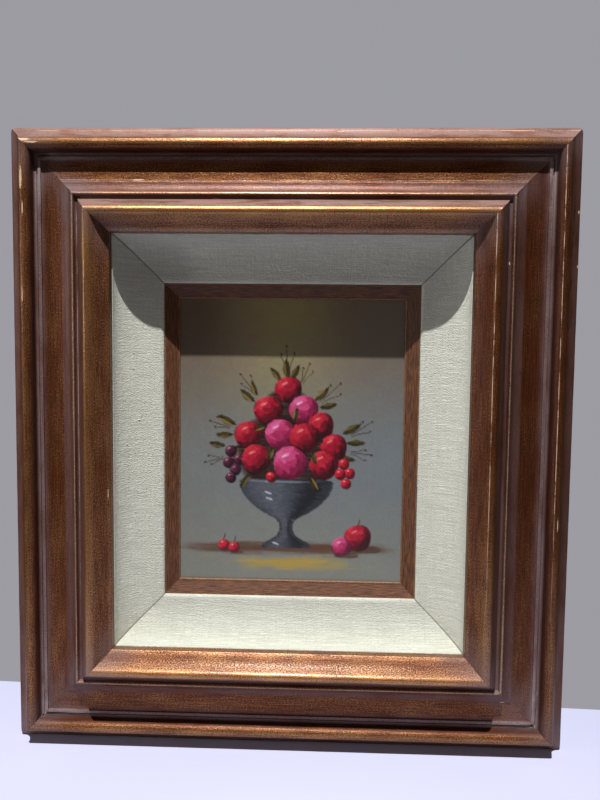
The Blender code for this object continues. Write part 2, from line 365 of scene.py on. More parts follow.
def useGroup(group, *values):
    node = addNode(treeOf(*values), "Group", dict(enumerate(values)), node_tree=group)
    return {socket.name: nodeValue(socket) for socket in node.outputs}


def newMaterial(name):
    material = bpy.data.materials.new(name)
    material.use_nodes = True
    return material, material.node_tree


def dress(material, inputs, relief=None, strength=0.5, depth=0.0003):
    # sets the shader's inputs, with a bump where a relief is given
    shader = material.node_tree.nodes["Principled BSDF"]
    feed(shader, inputs)
    if relief is not None:
        bump = put(material.node_tree, "Bump", {"Height": relief, "Strength": strength, "Distance": depth})
        feed(shader, {"Normal": bump})
    return material


# Groups shared by the materials

def makeGrainGroup():
    # long fibres and broad bands that follow the rail
    tree, grain, fibreWidth, lengthRatio = startGroup("woodGrain", "Grain", "Fibre Width", "Length Ratio")
    across = 1.0 / fibreWidth
    scale = put(tree, "CombineXYZ", {"X": across * lengthRatio, "Y": across, "Z": 0.0})
    fine = reckon("MULTIPLY", grain, scale, kind="VectorMath")
    return closeGroup(tree, Fibres=noiseOf(fine, 1.0, 3.0, 0.6), Bands=noiseOf(fine, 0.14))


def makeWeaveGroup():
    # plain weave: threads over and under each other, uneven in thickness, with slubs
    tree, cloth, pitch, slubShare = startGroup("plainWeave", "Cloth", "Pitch", "Slubs")
    perThread = math.pi / pitch
    wobble = reckon("SUBTRACT", noiseOf(cloth, 90.0, output="Color"), (0.5, 0.5, 0.5), kind="VectorMath")
    shifted = reckon("MULTIPLY_ADD", wobble, (0.0008, 0.0008, 0), cloth, kind="VectorMath")
    warp, weft = (reckon("SINE", part * perThread) for part in partsOf(shifted)[:2])
    picked = put(tree, "Mix", {0: warp * weft * 0.5 + 0.5, 2: abs(warp), 3: abs(weft)}, data_type="FLOAT")
    # single threads run thick and thin over a few centimetres
    warpRun = noiseOf(stretched(shifted, (1.0, 0.035, 1.0)), 900.0, 1.0)
    weftRun = noiseOf(stretched(shifted, (0.035, 1.0, 1.0), (0.3, 0.1, 0)), 900.0, 1.0)
    runs = warpRun * 0.4 + weftRun
    slanted = put(tree, "VectorRotate", {"Vector": shifted, "Angle": 0.5}, rotation_type="Z_AXIS")
    crepe = noiseOf(stretched(slanted, (0.32, 1.0, 1.0)), 1400.0, 1.0)
    slubWarp = fade(noiseOf(stretched(shifted, (1.0, 0.12, 1.0), (0.7, 0, 0)), 900.0, 0.0), 0.74, 0.84)
    slubWeft = fade(noiseOf(stretched(shifted, (0.14, 1.0, 1.0), (0, 0.9, 0)), 900.0, 0.0), 0.64, 0.74)
    slubs = most(slubWarp, slubWeft) * slubShare
    # Gaps marks where the threads dip, for painted shade between them
    return closeGroup(tree, Height=picked * 0.45 + runs * 0.4 + crepe * 2.6 + slubs * 0.35,
                      Tone=runs * 0.9 + slubs * 0.35, Gaps=fade(picked, 0.30, 0.05))


def makeDustGroup():
    # soft dust blotches and small dark specks
    tree, place, speckSize = startGroup("dustAndSpecks", "Place", "Speck Size")
    cells = addNode(tree, "TexVoronoi", {"Vector": place, "Scale": 0.16 / speckSize}, feature="F1")
    shade = addNode(tree, "SeparateColor", {0: nodeValue(cells.outputs["Color"])})
    chosen = fade(nodeValue(shade.outputs[0]), 0.90, 0.97)
    specks = chosen * fade(nodeValue(cells.outputs["Distance"]), chosen * 0.16, 0.02)
    return closeGroup(tree, Dust=fade(noiseOf(place, 45.0, 5.0, 0.65), 0.45, 0.75), Specks=specks)


grainGroup = makeGrainGroup()
weaveGroup = makeWeaveGroup()
dustGroup = makeDustGroup()


# The camera, where the photograph was taken from

view = {"place": (0.02464, -0.57499, -0.16341), "turn": (86.328, -0.628, 1.838), "lens": 29.25}

bpy.ops.object.camera_add(location=view["place"], rotation=[math.radians(angle) for angle in view["turn"]])
camera = bpy.context.object
camera.name = "camera"
camera.data.sensor_width = 36
camera.data.lens = view["lens"]
camera.data.clip_start = 0.01
bpy.context.scene.camera = camera

# Light: one small lamp high in front, a weak cool window on the left and a dim even room

lighting = {
    "room": 0.060, "roomColour": (1.0, 0.80, 0.48), "wall": (0.335, 0.33, 0.365),
    # the lamps' places are given from the middle of the picture
    "lamps": {"lamp": {"towards": (-0.11, -1.0, 2.22), "distance": 2.6, "size": 0.03, "energy": 120.0,
                       "color": (0.97, 0.97, 1.0)},
              "window": {"towards": (-1.85, -0.95 - sightLevel, 0.10 - pictureCentre.z), "distance": None,
                         "size": 0.35, "energy": 7.5, "color": (0.88, 0.90, 1.0)}},
    # the floor, with how far back it reaches at its left and right ends
    "floor": (0.55, 0.56, 0.73), "floorShade": (0.53, 0.54, 0.70), "floorFar": (0.058, 0.019),
    "floorMiddle": -0.12, "floorNear": -0.40, "floorHalf": 0.48,
}

for name, lamp in lighting["lamps"].items():
    towards = Vector(lamp["towards"])
    if lamp["distance"]:
        towards = towards.normalized() * lamp["distance"]
    bpy.ops.object.light_add(type="AREA", location=Vector((0, sightLevel, pictureCentre.z)) + towards,
                             rotation=towards.to_track_quat("Z", "Y").to_euler())
    light = bpy.context.object
    light.name = name
    light.data.shape = "DISK"
    for key in ("size", "energy", "color"):
        setattr(light.data, key, lamp[key])

world = bpy.data.worlds.new("room")
bpy.context.scene.world = world
world.use_nodes = True
room = world.node_tree
for node in list(room.nodes):
    room.nodes.remove(node)
ambient = put(room, "Background", {"Color": lighting["roomColour"], "Strength": lighting["room"]})
seen = put(room, "Background", {"Color": lighting["wall"], "Strength": 1.0})
cameraRay = put(room, "LightPath", {}, "Is Camera Ray")
addNode(room, "OutputWorld", {"Surface": put(room, "MixShader", {0: cameraRay, 1: ambient, 2: seen})})
bpy.context.scene.view_settings.view_transform = "Standard"


def makeFloor():
    material, tree = newMaterial("paleFloor")
    cloudy = noiseOf(put(tree, "TexCoord", {}, "Object"), 3.0, 3.0)
    dress(material, {"Base Color": mixed(fade(cloudy, 0.3, 0.7), lighting["floor"], lighting["floorShade"]),
                     "Roughness": 0.7})
    bpy.ops.mesh.primitive_grid_add(x_subdivisions=2, y_subdivisions=2, size=1, location=(0, 0, 0))
    floor = bpy.context.object
    floor.name = "floor"
    points = pointsOf(floor)
    # its far edge runs a little askew, as the table's does
    far = np.interp(points[:, 0], (-0.5, 0.5), lighting["floorFar"])
    near = np.where(points[:, 1] < -0.4, lighting["floorNear"], lighting["floorMiddle"])
    points[:, 0] *= 2 * lighting["floorHalf"]
    points[:, 1] = np.where(points[:, 1] > 0, far, near)
    points[:, 2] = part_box("frame_bottom_rail")[0].z - 0.0002
    movePoints(floor, points)
    floor.data.materials.append(material)


makeFloor()
print("camera, light and floor done")


# The wooden frame

frameLook = {
    "bevel": 0.00035, "flats": (0.0016, -0.020), "cuts": (84, 2), "cornerRadius": 0.0055,
    "reed": (0.0563, 0.0011), "reedBevel": 0.0007,  # how far in from the outer side the reed is, and its reach
    "relief": {"wave": (0.03, 0.00025), "pits": (0.0035, 0.00012)},  # size and depth
    "backLevel": -0.0219, "lipUnderside": 0.030,
    # the reed, flank and roll as they sit on the real moulding, in mm from its outer side
    "insets": (0, 54, 55.4, 57.2, 60.4, 66.8, 71.5, 75.0, 80.0, 90),
    "newInsets": (0, 54, 55.6, 58.6, 60.7, 68.8, 72.8, 75.8, 80.0, 90),
    "friezeStart": 0.029, "friezeWidth": 0.017, "friezeLift": 0.0008,
    "stain": (0.145, 0.036, 0.009), "stainDark": (0.055, 0.013, 0.004), "gold": (0.50, 0.245, 0.085),
    "patina": (0.165, 0.108, 0.108), "dust": (0.36, 0.29, 0.28), "sheenTone": (0.26, 0.155, 0.125),
    "shadeTone": (0.020, 0.008, 0.005), "nick": (0.025, 0.010, 0.006), "hole": (0.012, 0.007, 0.006),
    "bare": (0.56, 0.39, 0.25), "rub": (0.66, 0.47, 0.37), "joint": (0.045, 0.022, 0.015),
    # across the moulding from its outer side, in mm: how gilded and how waxy grey each member is, and how much
    # painted shade darkens it
    "inset": (0, 11, 13, 17.3, 21, 22.6, 24, 28.5, 29.5, 33, 44.8, 46.4, 54, 55.6, 56.8, 57.4, 60, 61, 66,
              68, 72, 75, 77, 84, 86.4, 87.6),
    "gilded": (.15, .20, .35, .55, .40, .15, .10, .15, .25, .35, .30, .15, .25, .65, .70, .20, .10, .15,
               .30, .65, .72, .65, .55, .35, .60, .50),
    "greyed": (.30, .25, .10, .00, .05, .20, .95, .95, .45, .05, .00, .38, .42, .40, .20, .45, .60, .35,
               .25, .00, .00, .00, .05, .10, .00, .00),
    # painted shade, darkest in the quirks, the groove and beside the bead
    "recessShade": (.05, .10, .25, .15, .25, .45, .05, .00, .10, .15, .15, .15, .10, .00, .00, .10, .15, .05,
                 .05, .00, .00, .00, .05, .05, .00, .10),
    "matt": (.10, .05, .00, .00, .05, .05, .00, .00, .00, .00, .00, .00, .00, .00, .00, .00, .00, .05, .05,
             .00, .00, .10, .20, .20, .05, .00),
    # painted sheen: how much of the lighter pinkish tone each member gets
    "worn": (.90, .85, .15, .00, .00, .00, .15, .15, .05, .00, .00, .00, .05, .30, .20, .10, .30, 1.0, 1.0,
             .10, .00, .00, .00, .10, .45, .30),
    "sheenBySide": {"top": 1.0, "right": 0.10, "bottom": 0.35, "left": 0.18},  # painted sheen, most where the ledges face up
    # how much gold each rail gets, at its upper and its lower end: heights between which this changes,
    # then the reed's place and reach in mm, its own shares and those of the rest
    "changeOver": (-0.16, -0.02), "giltReed": (56.5, 1.2),
    "reedGold": {"top": (1.0, 1.0), "right": (0.2, 0.95), "bottom": (0.8, 0.8), "left": (0.45, 0.45)},
    "giltShare": {"top": (1.12, 1.12), "right": (0.5, 0.95), "bottom": (0.95, 0.95), "left": (0.85, 0.95)},
    "depth": {"top": 1.05, "right": 0.70, "bottom": 1.08, "left": 0.86},  # how much lighter or darker each rail's colour is made
    # two long painted highlight lines on each rail, in mm from the outer side, and how strong they are
    "rubs": {"top": (44.5, 3.0, 0.4), "right": (19.0, 73.9, 0.8), "bottom": (18.0, 71.0, 0.4),
             "left": (8.0, 59.1, 0.6)},
    # chips and dark holes: along the rail, in from the outer side, length and width in mm
    "chipDepth": 0.0003, "holeDepth": 0.0008,
    "chips": {"top": ((-213, 15.0, 7, 1.4), (-206, 17.0, 6, 0.9), (178, 3.4, 17, 0.5), (-123, 44.0, 5, 0.6),
                      (-60, 60.5, 3, 0.6), (38, 3.5, 4, 0.6)),
              "left": ((212, 16.4, 10, 1.3), (188, 16.8, 6, 0.7), (174, 8.4, 9, 0.7), (-166, 85.6, 3.5, 1.0),
                       (120, 16.0, 7, 0.5), (-40, 85.5, 5, 0.5)),
              "right": ((-190, 1.7, 1.6, 1.1), (-147, 0.8, 1.4, 1.2), (-147, 59.2, 1.3, 0.8),
                        (60, 16.0, 6, 0.5)),
              "bottom": ((142, 83.5, 3.0, 1.3), (204, 25.5, 1.2, 0.8), (-178, 46.0, 2.0, 1.2),
                         (-30, 86.0, 7, 0.5))},
    "holes": {"top": ((-100, 66.0, 3.0, 0.6), (-137, 65.0, 2.4, 0.5), (-116, 65.4, 1.8, 0.5),
                      (60, 66.0, 2.2, 0.4)),
              "left": ((230, 9.0, 3, 0.5), (196, 14.5, 3, 0.4), (150, 7.0, 5, 0.5)),
              "right": ((-60, 47.0, 1.0, 0.5), (-187, 5.5, 6, 0.6), (-171, 6.0, 4, 0.7), (-163, 6.0, 4, 0.7),
                        (-156, 6.2, 3, 0.5), (-131, 6.5, 7, 0.6), (-96, 7.0, 4, 0.5)),
              "bottom": ((206.9, 24.1, 1.1, 0.9), (-202.7, 26.1, 1.0, 0.8))},
}


def findSpots(piece, side, marks):
    # each mark's place in the rail's own grain, with how long and wide it is
    along, out, rise = railPlace(piece, side)
    inset = frameDepth - out
    grain = readMesh(piece.data.attributes["grain"].data, "vector", 3)
    found = []
    for place, depth, length, width in marks:
        away = np.hypot(along - place / 1000, inset - depth / 1000) + np.where(rise > frontRise, 0, 1)
        nearest = int(np.argmin(away))
        found.append((float(grain[nearest, 0] + place / 1000 - along[nearest]), float(grain[nearest, 1]),
                      length / 1000, width / 1000))
    return found


def spotMask(grain, noise, spots):
    # ragged marks at these places of the grain
    mask = None
    for x, y, length, width in spots:
        offset = reckon("SUBTRACT", grain, (x, y, 0), kind="VectorMath")
        scaled = reckon("MULTIPLY", offset, (1 / length, 1 / width, 0), kind="VectorMath")
        reach = reckon("LENGTH", scaled, kind="VectorMath", output="Value")
        mark = fade(noise * 1.6 + reach, 1.75, 1.50)
        mask = mark if mask is None else most(mask, mark)
    return mask


def makeGiltWood(chips, holes):
    look = frameLook
    material, tree = newMaterial("stainedGiltWood")
    grain = attribute(tree, "grain", "Vector")
    mitre = partsOf(grain)[2]
    gilded, greyed, recessShade = partsOf(attribute(tree, "tones", "Vector"))
    worn = attribute(tree, "worn")
    wood = useGroup(grainGroup, grain, 0.0008, 0.03)
    dirt = useGroup(dustGroup, grain, 0.0009)
    speckle = noiseOf(stretched(grain, (0.5, 1.0, 0.0)), 1500.0, 2.0, 0.8)
    cloudy = noiseOf(stretched(grain, (0.35, 1.0, 0.0)), 60.0, 3.0, 0.6)
    ripple = noiseOf(stretched(grain, (0.25, 1.0, 0.0)), 230.0, 2.0, 0.6)
    ragged = noiseOf(grain, 900.0, 3.0, 0.65)
    blotch = ripple + cloudy
    patchy = speckle * 0.5 + blotch

    stain = mixed(fade(wood["Fibres"], 0.28, 0.66), look["stainDark"], look["stain"])
    goldShare = fade(speckle * 2.3 + wood["Fibres"] * 0.6 + gilded * 0.9 + cloudy * 0.7, 2.00, 2.70)
    # each rail's colour is made lighter or darker by its own factor
    colour = mixed(1.0, mixed(goldShare, stain, look["gold"]), attribute(tree, "depth"), "MULTIPLY")
    wax = (greyed + fade(mitre, 0.026, 0.002, 0.0, 0.45)) * fade(cloudy, 0.25, 0.6, 0.35, 1.0)
    wax = reckon("MINIMUM", wax, 1.0)
    colour = mixed(wax, colour, look["patina"])
    pale = fade(greyed, 0.5, 0.9) * fade(mitre, 0.050, 0.004, 0.0, 0.6) * fade(blotch, 0.85, 1.15)
    colour = mixed(pale, colour, look["dust"])
    # painted sheen: a lighter pinkish tone on the members that catch the light, most on the top rail
    paintedSheen = worn * fade(patchy, 1.06, 1.30, 0.35, 1.0)
    colour = mixed(paintedSheen, colour, look["sheenTone"])
    # painted shade in the recesses of the moulding
    colour = mixed(recessShade * 0.8, colour, look["shadeTone"])
    lightCrest = fade(attribute(tree, "crest"), 0.40, 0.9) * fade(speckle, 0.54, 0.64)
    colour = mixed(lightCrest * 0.5, colour, look["bare"])
    nicks = fade(speckle, 0.45, 0.36) * fade(ripple, 0.42, 0.55)
    colour = mixed(nicks * 0.7, colour, look["nick"])
    # painted highlights: two thin light lines along each rail, fading out towards its lower end
    firstGlint, secondGlint, glintShare = partsOf(attribute(tree, "rubs", "Vector"))
    glintLine = most(*(fade(abs(away), 0.42, 0.14) for away in (firstGlint, secondGlint)))
    glintLine = glintLine * glintShare * fade(patchy, 1.12, 1.34, 0.1, 1.0)
    colour = mixed(glintLine, colour, look["rub"])
    # the joint shows as a ragged line, here dirty and there rubbed
    joint = fade(ragged * 0.0022 + mitre, 0.0016, 0.0010, 0.0, 0.5)
    colour = mixed(joint, colour, mixed(fade(cloudy, 0.50, 0.60, 0.0, 0.6), look["joint"], look["bare"]))
    chipped = spotMask(grain, ragged, chips)
    colour = mixed(chipped, colour, look["bare"])
    hollowed = most(spotMask(grain, ragged, holes), dirt["Specks"] * 0.7)
    colour = mixed(hollowed, colour, look["hole"])
    broken = most(chipped, hollowed)

    shine = (goldShare * 0.45 + 0.42) * (1.0 - most(wax, paintedSheen) * 0.80) * (1.0 - broken) * (1.0 - glintLine)
    rough = speckle * 0.24 + wax * 0.12 + attribute(tree, "matt") + 0.26
    coat = fade((speckle - 0.5) * 0.9 + gilded, 0.42, 0.66, 0.05, 1.0) * fade(speckle, 0.38, 0.60, 0.15, 1.0)
    inputs = {"Base Color": colour, "Metallic": shine, "Roughness": rough, "Specular IOR Level": 0.15,
              "Coat Weight": coat * (1.0 - chipped), "Coat Roughness": 0.30}
    return dress(material, inputs, ripple + wood["Fibres"] * 0.7 + speckle * 0.9 - broken, 0.6)


def makeRawPine():
    material, tree = newMaterial("rawPine")
    grain = attribute(tree, "grain", "Vector")
    wood = useGroup(grainGroup, grain, 0.0011, 0.02)
    dirt = useGroup(dustGroup, grain, 0.0015)
    colour = mixed(fade(wood["Bands"], 0.35, 0.65), (0.47, 0.31, 0.17), (0.62, 0.45, 0.28))
    colour = mixed(fade(wood["Fibres"], 0.52, 0.75, 0, 0.45), colour, (0.30, 0.17, 0.08))
    colour = mixed(dirt["Dust"] * 0.3, colour, (0.24, 0.20, 0.16))
    colour = mixed(dirt["Specks"] * 0.7, colour, (0.08, 0.05, 0.03))
    return dress(material, {"Base Color": colour, "Roughness": fade(wood["Fibres"], 0.3, 0.7, 0.75, 0.9)},
                 wood["Fibres"])


def storeTones(piece, side):
    # how gilded, grey and matt the rail is, how much painted shade and painted sheen it gets, and where its long
    # painted highlight lines run
    look = frameLook
    inset = (frameDepth - railPlace(piece, side)[1]) * 1000
    tones = {name: np.interp(inset, look["inset"], look[name])
             for name in ("gilded", "greyed", "recessShade", "worn", "matt")}
    low, high = look["changeOver"]
    atTop = np.clip((pointsOf(piece)[:, 2] - pictureCentre.z - low) / (high - low), 0, 1)
    onReed, offReed = (look[name][side][1] + (look[name][side][0] - look[name][side][1]) * atTop
                       for name in ("reedGold", "giltShare"))
    reed, reach = look["giltReed"]
    tones["gilded"] *= np.where(np.abs(inset - reed) < reach, onReed, offReed)
    first, second, strength = look["rubs"][side]
    storeOnPoints(piece, tones=(tones["gilded"], tones["greyed"], tones["recessShade"]), matt=tones["matt"],
                  worn=tones["worn"] * look["sheenBySide"][side], depth=np.full(len(inset), look["depth"][side]),
                  rubs=(inset - first, inset - second, strength * atTop))


def moveSection(piece, side):
    # slides and raises the front of a rail by its distance from the outer side, and keeps the mitres
    look = frameLook
    along, out, rise = railPlace(piece, side)
    inset = frameDepth - out
    insets, newInsets = (np.array(look[name]) / 1000 for name in ("insets", "newInsets"))
    newOut = frameDepth - np.where(rise > 0, np.interp(inset, insets, newInsets), inset)
    length = sides[side]["length"]
    share = np.clip((inset - look["friezeStart"]) / look["friezeWidth"], 0, 1)
    slide(piece, side, along * (length + newOut) / (length + out) - along, newOut - out,
          -np.where(rise > 0, look["friezeLift"] * 4 * share * (1 - share), 0))


def roughen(piece, onFront):
    # a light wave and small pits in the wood of the front
    group = piece.vertex_groups.new(name="front")
    group.add([int(i) for i in np.flatnonzero(onFront)], 1.0, "REPLACE")
    for label, (size, strength) in frameLook["relief"].items():
        texture = bpy.data.textures.get(label) or bpy.data.textures.new(label, "CLOUDS")
        texture.noise_scale = size
        modifier = piece.modifiers.new(label, "DISPLACE")
        modifier.texture = texture
        modifier.strength = strength
        modifier.mid_level = 1.0
        modifier.vertex_group = "front"
        onlySelect(piece)
        bpy.ops.object.modifier_apply(modifier=modifier.name)


def dentRail(piece, side, marks, depth):
    # sinks the wood a little under each mark
    along, out, rise = railPlace(piece, side)
    back = np.zeros(len(rise))
    for place, across, length, width in marks:
        near = np.hypot((along - place / 1000) / (length / 1000 + 0.001),
                        (frameDepth - out - across / 1000) / (width / 1000 + 0.0008))
        back += np.where(rise > frontRise, depth * np.clip(1 - near, 0, 1), 0)
    slide(piece, side, back=back)


def roundCorners(piece, side, radius):
    # takes the sharp outer corners of the frame off, the same on both rails that meet there
    along, out, _ = railPlace(piece, side)
    deep = radius - (frameDepth - out)
    wide = radius - (sides[side]["length"] + frameDepth - np.abs(along))
    far = np.hypot(deep, wide)
    share = np.where((deep > 0) & (wide > 0) & (far > radius), 1 - radius / np.maximum(far, radius), 0)
    slide(piece, side, -wide * share * np.sign(along), -deep * share)


def makeFrameRail(side, number):
    look = frameLook
    # the top rail starts from the bottom one turned over, as the nails' heads hide the holes in its back
    source = "frame_bottom_rail" if side == "top" else f"frame_{side}_rail"
    piece = startFromNode(source, f"frame_moulding_{side}")
    if side == "top":
        points = pointsOf(piece)
        points[:, 0] = -points[:, 0]
        points[:, 2] = 2 * pictureCentre.z - points[:, 2]
        movePoints(piece, points)
    section = sectionOf(piece, side)

    def atReed(points):
        out = (points - np.array(pictureCentre)) @ np.array(sides[side]["out"]) - sides[side]["away"]
        return np.abs(frameDepth - out - look["reed"][0]) < look["reed"][1]

    bevelLongEdges(piece, look["reedBevel"], 3, atReed)
    bevelLongEdges(piece, look["bevel"], 2, lambda points: ~atReed(points))
    cutFlats(piece, *look["flats"])
    cutLengthwise(piece, sides[side]["along"], look["cuts"])
    layGrain(piece, side, section, number)
    storeTones(piece, side)
    _, out, rise = railPlace(piece, side)
    onFront = (rise > -0.015) & ((rise > look["lipUnderside"] + 0.001) | (frameDepth - out < 0.070))
    moveSection(piece, side)
    spots = [findSpots(piece, side, look[kind][side]) for kind in ("chips", "holes")]
    roughen(piece, onFront)
    dentRail(piece, side, look["chips"][side], look["chipDepth"])
    dentRail(piece, side, look["holes"][side], look["holeDepth"])
    closeMitres(piece, side)
    roundCorners(piece, side, look["cornerRadius"])
    return piece, *spots


rawPine = makeRawPine()
frameRails, chipSpots, holeSpots = zip(*(makeFrameRail(side, number) for number, side in enumerate(sides)))
giltWood = makeGiltWood(sum(chipSpots, []), sum(holeSpots, []))
for rail, side in zip(frameRails, sides):
    assignFaces(rail, lambda middles, normals: (
        (normals[:, 1] > 0.7) | (sightLevel - middles[:, 1] < frameLook["backLevel"])))
    finishPiece(rail, f"frame_{side}_rail", "frame_wood", giltWood, rawPine)
print("frame rails done")


# The linen liner

linerLook = {
    "bevel": 0.0003, "flats": (0.0015, -0.010), "cuts": (100, 1), "edgeFall": 0.0011, "fallReach": 0.0035,
    "backFrom": 0.010, "pitch": 0.00070, "thread": (0.68, 0.685, 0.575), "shade": (0.485, 0.49, 0.40),
    "gap": (0.26, 0.25, 0.19), "dust": (0.42, 0.38, 0.30), "speck": (0.16, 0.13, 0.09),
    # raised knots in the cloth: along the rail and out from the sight edge, with their size, in mm
    "knots": {"left": ((18, 32, .9), (-2, 41, .8), (-1, 16, .8), (-5, 23, .6), (52, 28, .6), (-60, 35, .7),
                       (-84, 20, .6), (74, 36, .9), (61, 36, .8), (96, 29, .7), (94, 26, .6), (97, 24, .5)),
              "top": ((-44, 30, .6), (31, 39, .5)), "right": ((-40, 24, .6), (14, 37, .7), (63, 30, .6)),
              "bottom": ((-10, 33, .6), (-30, 40, .5), (26, 26, .6), (48, 21, .5))},
    # thread ends over the slip, along the rail in mm; the liner's inner edge is this far out
    "threadEnds": {"left": (-1, -7, -9, 12, 40, -52, 77), "top": (-60, 22, 58), "right": (-70, -18, 35, 80),
                   "bottom": (38, -22, 61)},
    "innerEdge": 0.0130, "endLength": 0.0014, "endRadii": (0.00032, 0.0002),
}


def makeLinen():
    look = linerLook
    material, tree = newMaterial("linen")
    cloth = attribute(tree, "cloth", "Vector")
    weave = useGroup(weaveGroup, cloth, look["pitch"], 1.0)
    dirt = useGroup(dustGroup, cloth, 0.0011)
    mitre = partsOf(attribute(tree, "grain", "Vector"))[2]
    colour = mixed(fade(weave["Tone"], 0.20, 1.05), look["shade"], look["thread"])
    # painted shade in the gaps between the threads
    colour = mixed(weave["Gaps"] * 0.28, colour, look["gap"])
    colour = mixed(dirt["Dust"] * 0.12, colour, look["dust"])
    colour = mixed(dirt["Specks"] * 0.5, colour, look["speck"])
    colour = mixed(fade(mitre, 0.0009, 0.0003, 0.0, 0.7), colour, look["speck"])
    inputs = {"Base Color": colour, "Roughness": 0.95, "Specular IOR Level": 0.15, "Sheen Weight": 0.10,
              "Sheen Roughness": 0.5}
    return dress(material, inputs, weave["Height"], 0.85, 0.0005)


def onRail(side, along, out, rise):
    # a place given along a rail, out from the sight edge and forward of it, all in metres
    place = sides[side]
    spot = pictureCentre + place["along"] * along + place["out"] * (place["away"] + out)
    return Vector((spot.x, sightLevel - rise, spot.z))


def surfaceRise(piece, side, out):
    # how far forward the front of a rail stands at this distance from the sight edge
    _, outs, rises = railPlace(piece, side)
    steps = np.round(outs, 5)
    fronts = {step: rises[steps == step].max() for step in np.unique(steps)}
    places = sorted(step for step in fronts if fronts[step] > 0.004)
    return float(np.interp(out, places, [fronts[step] for step in places]))


def addKnot(piece, side, along, out, size):
    # a slub knot, half sunk in the cloth
    place = onRail(side, along / 1000, out / 1000, surfaceRise(piece, side, out / 1000))
    bpy.ops.mesh.primitive_uv_sphere_add(segments=12, ring_count=8, radius=size / 1000, location=place)
    knot = bpy.context.object
    bpy.ops.object.transform_apply()
    stretch = np.abs(np.array(sides[side]["out"])) * 1.1 + np.abs(np.array(sides[side]["along"])) * 0.75
    stretch[1] = 0.6
    movePoints(knot, (pointsOf(knot) - np.array(place)) * stretch + np.array(place))
    return knot


def addThreadEnd(piece, side, along, number):
    # a thread end that sticks out over the slip
    look = linerLook
    length = look["endLength"] + 0.0011 * ((number * 37) % 5) / 4
    rise = surfaceRise(piece, side, look["innerEdge"] + 0.0015)
    foot = onRail(side, along / 1000, look["innerEdge"] + 0.0006, rise - 0.0007)
    lean = sides[side]["along"] * (0.5 - 0.25 * (number % 4)) - sides[side]["out"] + Vector((0, -0.25, 0))
    bpy.ops.mesh.primitive_cone_add(vertices=7, radius1=look["endRadii"][0], radius2=look["endRadii"][1],
                                    depth=length, location=foot + lean.normalized() * length * 0.4,
                                    rotation=lean.to_track_quat("Z", "Y").to_euler())
    bpy.ops.object.transform_apply()
    return bpy.context.object


def makeLinerRail(side, number, linen):
    look = linerLook
    piece, around = makeRail(f"liner_{side}_rail", f"liner_linen_{side}", side, number + 5, look)
    # the weft runs level on all four rails, along the top one and across the side ones
    lengthwise = railPlace(piece, side)[0] + 0.9 * number
    level, upright = (lengthwise, around) if side in ("top", "bottom") else (around, lengthwise)
    storeOnPoints(piece, cloth=(level, upright, 0))
    closeMitres(piece, side)
    # the cloth rolls softly over the inner edge
    _, out, rise = railPlace(piece, side)
    share = np.clip(1 - (out - out.min()) / look["fallReach"], 0, 1)
    slide(piece, side, back=look["edgeFall"] * share ** 2 * (rise > 0.0055))
    assignFaces(piece, lambda middles, normals: (
        (normals[:, 1] > 0.7) & (middles[:, 1] > sightLevel + look["backFrom"])))
    extra = [addKnot(piece, side, *knot) for knot in look["knots"][side]]
    extra += [addThreadEnd(piece, side, along, order) for order, along in enumerate(look["threadEnds"][side])]
    for part in extra:
        points = pointsOf(part)
        while part.data.uv_layers:
            part.data.uv_layers.remove(part.data.uv_layers[0])
        place = (points[:, 0] + points[:, 1], points[:, 2], 0.1)
        storeOnPoints(part, grain=place, cloth=place)
    onlySelect(piece, *extra)
    bpy.ops.object.join()
    finishPiece(piece, f"liner_{side}_rail", "linen", linen, rawPine)


linen = makeLinen()
for number, side in enumerate(sides):
    makeLinerRail(side, number, linen)
print("liner rails done")


# The wooden slip round the picture

slipLook = {
    "bevel": 0.0003, "flats": (0.0016, -0.004), "cuts": (100,), "backFrom": 0.003,
    "wood": (0.150, 0.056, 0.020), "dark": (0.046, 0.017, 0.007), "fleck": (0.26, 0.10, 0.05),
    "edge": (0.40, 0.22, 0.11), "speck": (0.02, 0.01, 0.008),
}


def makeSlipWood():
    look = slipLook
    material, tree = newMaterial("slipWood")
    grain = attribute(tree, "grain", "Vector")
    wood = useGroup(grainGroup, grain, 0.0006, 0.05)
    dirt = useGroup(dustGroup, grain, 0.0009)
    speckle = noiseOf(stretched(grain, (0.6, 1.0, 0.0)), 1000.0, 2.0, 0.7)
    colour = mixed(fade(wood["Fibres"], 0.40, 0.62), look["dark"], look["wood"])
    colour = mixed(fade(speckle, 0.55, 0.75, 0, 0.5), colour, look["fleck"])
    # painted highlight: the slip's crests are made lighter with the edge colour
    lightCrest = fade(attribute(tree, "crest"), 0.4, 1.0) * fade(speckle, 0.40, 0.62, 0.1, 0.6)
    colour = mixed(lightCrest, colour, look["edge"])
    colour = mixed(dirt["Specks"] * 0.5, colour, look["speck"])
    return dress(material, {"Base Color": colour, "Roughness": fade(speckle, 0.3, 0.7, 0.45, 0.65),
                            "Specular IOR Level": 0.3}, wood["Fibres"] * 0.5 + speckle * 0.6, 0.45)


slipWood = makeSlipWood()
for number, side in enumerate(sides):
    rail, _ = makeRail(f"slip_{side}_rail", f"slip_moulding_{side}", side, number + 10, slipLook)
    closeMitres(rail, side)
    assignFaces(rail, lambda middles, normals: (
        (normals[:, 1] > 0.7) & (middles[:, 1] > sightLevel + slipLook["backFrom"])))
    finishPiece(rail, f"slip_{side}_rail", "slip_wood", slipWood, rawPine)
print("slip rails done")


# The stretcher behind the canvas

barLook = {"bevel": 0.0005, "cuts": (20,)}

for number, side in enumerate(sides):
    bar, _ = makeRail(f"stretcher_{side}_bar", f"stretcher_{side}", side, number + 15, barLook)
    finishPiece(bar, f"stretcher_{side}_bar", "bare_pine", rawPine)
print("stretcher done")


# The painting: a stemmed bowl of fruit in oils on stretched canvas

